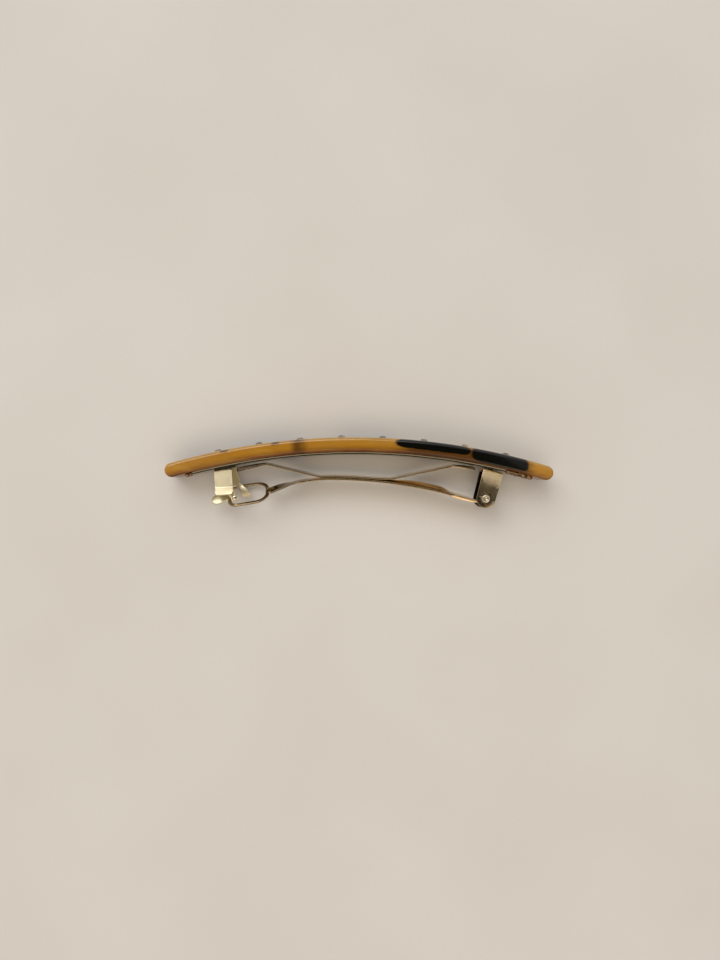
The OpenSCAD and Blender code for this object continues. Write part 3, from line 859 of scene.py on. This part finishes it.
# ---------------------------------------------------------------- catch prongs
def build_prong(name, node, side, shift, lean, wing_w, tongue_x, nose):
    """A sprung wall with a flared thumb wing and a tongue that ends in a rounded nose."""
    root = Vector(JOINTS[name + "_squeeze"]["pos_m"])
    axis = Vector(JOINTS[name + "_squeeze"]["axis"])
    along = axis if axis.x > 0 else -axis
    up = Vector((-along.y, along.x, 0))
    root = root + along * shift
    turn = Matrix.Rotation(math.radians(lean), 3, "Z")
    along, up = turn @ along, turn @ up
    half, wall, mid = 2.05 * MM, 4.25 * MM, 2.275 * MM
    thick = 0.45 * MM
    bend = 0.7 * MM
    flare = math.radians(28)
    wing = 1.7 * MM
    nose_x, nose_y, nose_r = (v * MM for v in nose)

    def spot(x, y, out):
        out += 0.30 * MM * min(1.0, -y / wall) - 0.12 * MM
        return Vector((root.x, root.y, MID_Z)) + along * x + up * y + Vector((0, 0, side * (mid + out)))

    def wing_place(x, s):
        d = -s - (wall - bend * flare / 2 - 0.2 * MM)
        if d <= 0:
            return spot(x, s, 0)
        if d < bend * flare:
            turn = d / bend
            return spot(x, s + d - bend * math.sin(turn), bend * (1 - math.cos(turn)))
        rest = d - bend * flare
        y = s + d - bend * math.sin(flare) - rest * math.cos(flare)
        return spot(x, y, bend * (1 - math.cos(flare)) + rest * math.sin(flare))

    def nose_place(x, s):
        d = max(0.0, -s - wall) / MM
        return spot(x, s, -0.16 * MM * math.sin(min(1, d / 3) * math.pi))

    low = -(wall + wing)
    right = -half + wing_w
    corner = min(0.7 * MM, 0.45 * wing_w)
    wing_outer = [(-half, -0.1 * MM), (-half, low + corner)]
    wing_outer += circle_points(-half + corner, low + corner, corner, 180, 270, 8)[1:]
    wing_outer += circle_points(right - corner, low + corner, corner, 270, 360, 8)
    if right < half - 0.1 * MM:
        wing_outer += [(right, -wall), (half, -wall)]
    wing_outer += [(half, -0.1 * MM)]
    cuts = [-wall + 0.6 * MM - 1.2 * MM * k / 12 for k in range(13)] + [-1 * MM, -2 * MM]
    bent_sheet(name + "_wall", wing_outer, [], cuts, wing_place, thick, 0.07 * MM,
               CATCH_METAL, name, [node])
    tongue = [(tongue_x, -wall + 0.35 * MM)]
    tongue += circle_points(nose_x, nose_y, nose_r, 180, 360, 21)
    tongue += [(half - 0.12 * MM, -wall + 0.35 * MM)]
    cuts = [-wall - 3 * MM * k / 10 for k in range(11)]
    dome = bmesh.new()
    bmesh.ops.create_uvsphere(dome, u_segments=28, v_segments=14, radius=nose_r * 0.86)
    centre = spot(nose_x, nose_y, 0.12 * MM)
    for v in dome.verts:
        v.co = centre + Vector((v.co.x, v.co.y, v.co.z * 0.42))
    mesh = bpy.data.meshes.new(name + "_dimple")
    dome.to_mesh(mesh)
    dome.free()
    finish_piece(name + "_dimple", mesh, NOSE_METAL, name, ())
    bent_sheet(name + "_nose", tongue, [], cuts, nose_place, thick * 0.98, 0.12 * MM,
               CATCH_METAL, name, ())


# ---------------------------------------------------------------- glue
def build_bead(name, node, lumps, seed):
    """Squeezed-out adhesive: lumps melted together, clear of the plate's underside by a skin."""
    rng = random.Random(seed)
    bm = bmesh.new()
    for x, drop, z, radius in lumps:
        angle = math.asin(x * MM / PLATE_IN_R)
        base = arc_point(PLATE_IN_R - drop * MM, angle)
        where = Matrix.Translation((base.x, base.y, MID_Z + z * MM))
        squeeze = Matrix.Diagonal((1.0 + 0.2 * rng.random(), 0.75, 1.0 + 0.2 * rng.random(), 1))
        bmesh.ops.create_icosphere(bm, subdivisions=3, radius=radius * MM, matrix=where @ squeeze)
    mesh = bpy.data.meshes.new(name)
    bm.to_mesh(mesh)
    bm.free()
    bead = finish_piece(name, mesh, GLUE, "clip", [node])
    melt = bead.modifiers.new("melt", "REMESH")
    melt.mode = "VOXEL"
    melt.voxel_size = 0.12 * MM
    melt.use_smooth_shade = True
    relax = bead.modifiers.new("relax", "SMOOTH")
    relax.iterations = 4


# ---------------------------------------------------------------- CAD nodes that keep their shape
def dress(node, material, edge=0.05 * MM):
    """Material and softened edges for a CAD node that is shown as it is."""
    piece = frame["nodes"][node]
    piece.data.materials.clear()
    piece.data.materials.append(material)
    weld = piece.modifiers.new("weld", "WELD")
    weld.merge_threshold = 0.0005 * MM
    soften(piece, edge, 2)


# ---------------------------------------------------------------- floor, light and camera
def build_stage():
    """Pale floor, and a dark card around the camera that only reflections see."""
    mesh = bpy.data.meshes.new("floor")
    size = 1.5
    mesh.from_pydata([(-size, -size, 0), (size, -size, 0), (size, size, 0), (-size, size, 0)], [],
                     [(0, 1, 2, 3)])
    floor = bpy.data.objects.new("floor", mesh)
    mesh.materials.append(paper())
    bpy.context.scene.collection.objects.link(floor)
    card = bpy.data.meshes.new("camera_card")
    half_x, half_y, height = 0.075, 0.080, 0.245
    card.from_pydata([(-half_x, -half_y, height), (half_x, -half_y, height),
                      (half_x, half_y, height), (-half_x, half_y, height)], [], [(3, 2, 1, 0)])
    shade = Shader("dark_card")
    shade.set(Base_Color=(0.02, 0.018, 0.016, 1), Roughness=0.6)
    card.materials.append(shade.material)
    board = bpy.data.objects.new("camera_card", card)
    bpy.context.scene.collection.objects.link(board)
    board.visible_camera = False
    board.visible_diffuse = False
    board.visible_shadow = False
    board.visible_transmission = False


def area_light(name, place, size, power, colour):
    """Rectangular lamp that points at the barrette."""
    light = bpy.data.lights.new(name, "AREA")
    light.shape = "RECTANGLE"
    light.size, light.size_y = size
    light.energy = power
    light.color = colour
    lamp = bpy.data.objects.new(name, light)
    lamp.location = place
    lamp.rotation_euler = (-Vector(place)).to_track_quat("-Z", "Y").to_euler()
    bpy.context.scene.collection.objects.link(lamp)


def build_lights():
    """Even room light, a large window behind the bar and a weak warm fill in front."""
    world = bpy.data.worlds.new("soft_room")
    bpy.context.scene.world = world
    world.use_nodes = True
    background = world.node_tree.nodes["Background"]
    background.inputs["Color"].default_value = (1.0, 0.97, 0.94, 1)
    background.inputs["Strength"].default_value = 0.58
    area_light("window", (-0.45, 0.80, 1.20), (1.15, 0.95), 9.5, (1.0, 0.98, 0.95))
    area_light("fill", (0.00, -0.36, 0.75), (0.7, 0.4), 1.3, (1.0, 0.76, 0.50))


def build_camera():
    """Straight above the barrette, turned by the small angle at which it was laid down."""
    data = bpy.data.cameras.new("camera")
    data.sensor_fit = "HORIZONTAL"
    data.sensor_width = 36
    data.lens = 46.1
    data.clip_start = 0.01
    camera = bpy.data.objects.new("camera", data)
    camera.location = (0.25 * MM, -1.87 * MM, 0.220)
    camera.rotation_euler = (0, 0, math.radians(0.44))
    bpy.context.scene.collection.objects.link(camera)
    bpy.context.scene.camera = camera


# ---------------------------------------------------------------- everything together
build_camera()
build_stage()
build_lights()
bpy.context.scene.view_settings.view_transform = "Standard"
build_bar()
for number in range(1, 9):
    build_crystal(number)
build_arm()
build_loop()
build_bow()
build_bracket()
build_pin()
build_prong("near_prong", "catch_prong_near", 1, -0.6 * MM, -7, 4.1 * MM, -0.9 * MM, (2.25, -6.6, 0.8))
build_prong("far_prong", "catch_prong_far", -1, 0.0, 4, 0.7 * MM, 0.7 * MM, (2.65, -6.45, 1.0))
build_bead("glue_at_hinge", "glue_bead_right", [
    (34.1, -0.1, 3.75, 0.60), (35.0, -0.15, 3.8, 0.70), (36.0, -0.05, 3.7, 0.66), (36.9, -0.2, 3.8, 0.72),
    (37.8, -0.1, 3.75, 0.68), (38.5, -0.15, 3.7, 0.72), (39.1, -0.1, 3.6, 0.66),
], 5)
build_bead("glue_at_catch", "glue_bead_left", [(-38.5, -0.1, 3.8, 0.52), (-39.3, -0.1, 3.6, 0.6)], 9)
for node in ("base_plate", "catch_base"):
    dress(node, PLATE_METAL)
for node in ("hinge_rivet", "catch_rivet"):
    dress(node, RIVET_METAL)
dress("adhesive_film", FILM, 0.01 * MM)
